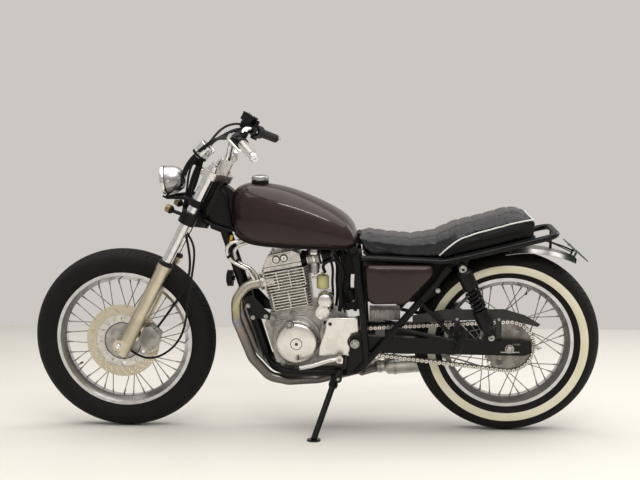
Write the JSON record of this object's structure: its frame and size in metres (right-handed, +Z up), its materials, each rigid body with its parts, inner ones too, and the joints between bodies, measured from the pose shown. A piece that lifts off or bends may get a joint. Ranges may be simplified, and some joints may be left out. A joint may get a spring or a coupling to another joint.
{
  "type": "motorcycle",
  "caption": "Cafe racer motorcycle with one upright cylinder, spoked wheels, ribbed seat and open frame, leaning on its side stand; wheels, steering and stand move.",
  "frame": {"origin": "on the ground under the middle of the machine's bounding box", "axes": "+X towards the front wheel, +Y towards the rider's left, +Z up; the machine leans 8 degrees about X, its top towards +Y, onto its side stand"},
  "size_m": [2.0839, 0.8123, 1.1798],
  "materials": {
    "tyre": "matt black, cream sidewall band on the rear",
    "rim_chrome": "polished chrome",
    "alloy_satin": "satin cast alloy",
    "alloy_polished": "polished alloy",
    "slider_champagne": "champagne beige lacquer",
    "disc_steel": "ground steel with a light bronze tint",
    "chrome": "polished chrome",
    "frame_black": "satin black",
    "body_brown": "dark metallic brown with clear coat",
    "black_plastic": "matt black",
    "rubber": "black rubber",
    "grip_rubber": "dark grey-brown rubber",
    "leather": "dark grey leather with white piping",
    "steel": "plain steel",
    "exhaust": "heat-tinted steel",
    "case_grey": "dark grey cast",
    "glass": "clear ribbed glass",
    "signal_amber": "amber lens in a dark body",
    "plate": "blank plate"
  },
  "bodies": {
    "machine": {"front_sprocket": "steel", "drive_chain": "steel", "main_frame": "frame_black", "rear_frame": "frame_black", "swingarm": "frame_black", "swingarm_bolt": "steel", "rear_axle": "steel", "rear_brake_plate": "alloy_satin", "shock_absorbers": "frame_black", "crankcase": "case_grey", "generator_cover": "alloy_polished", "sprocket_cover": "alloy_polished", "clutch_cover": "alloy_polished", "cylinder": "alloy_satin", "cylinder_head": "alloy_satin", "carburettors": "alloy_satin", "starter_motor": "alloy_satin", "exhaust_headers": "exhaust", "muffler": "exhaust", "fuel_tank": "body_brown", "fuel_cap": "chrome", "seat": "leather", "side_covers": "body_brown", "battery_box": "black_plastic", "rear_fender": "chrome", "chain_guard": "frame_black", "footrests": "frame_black", "foot_levers": "alloy_satin", "horn": "black_plastic", "number_plate": "plate"},
    "steering": {"fork_sliders": "slider_champagne", "fork_tubes": "chrome", "lower_yoke": "frame_black", "top_yoke": "alloy_polished", "front_axle": "steel", "brake_caliper": "black_plastic", "handlebar": "chrome", "bar_clamps": "alloy_polished", "grips": "grip_rubber", "hand_controls": "black_plastic", "hand_levers": "alloy_polished", "front_cables": "rubber", "headlamp": "chrome", "headlamp_lens": "glass", "headlamp_bracket": "frame_black", "speedometer": "chrome", "front_signals": "signal_amber"},
    "front_wheel": {"front_tyre": "tyre", "front_rim": "rim_chrome", "front_hub": "alloy_satin", "front_spokes": "steel", "front_brake_disc": "disc_steel"},
    "rear_wheel": {"rear_tyre": "tyre", "rear_rim": "rim_chrome", "rear_hub": "alloy_satin", "rear_spokes": "steel", "rear_sprocket": "steel"},
    "side_stand": {"side_stand": "frame_black"}
  },
  "joints": [
    {"name": "steering_turn", "type": "hinge", "parent": "machine", "child": "steering", "pos_m": [0.65353, -0.10865, 0.31], "axis": [-0.4648, 0.1232, 0.8768], "range_deg": [-38, 38]},
    {"name": "front_wheel_turn", "type": "hinge", "parent": "steering", "child": "front_wheel", "pos_m": [0.704, -0.10496, 0.33624], "axis": [0, 0.9903, -0.1392], "continuous": true},
    {"name": "rear_wheel_turn", "type": "hinge", "parent": "machine", "child": "rear_wheel", "pos_m": [-0.706, -0.10524, 0.33426], "axis": [0, 0.9903, -0.1392], "continuous": true},
    {"name": "side_stand_fold", "type": "hinge", "parent": "machine", "child": "side_stand", "pos_m": [-0.078, 0.01531, 0.18604], "axis": [-0.05, 0.9551, 0.292], "range_deg": [0, 100]}
  ]
}
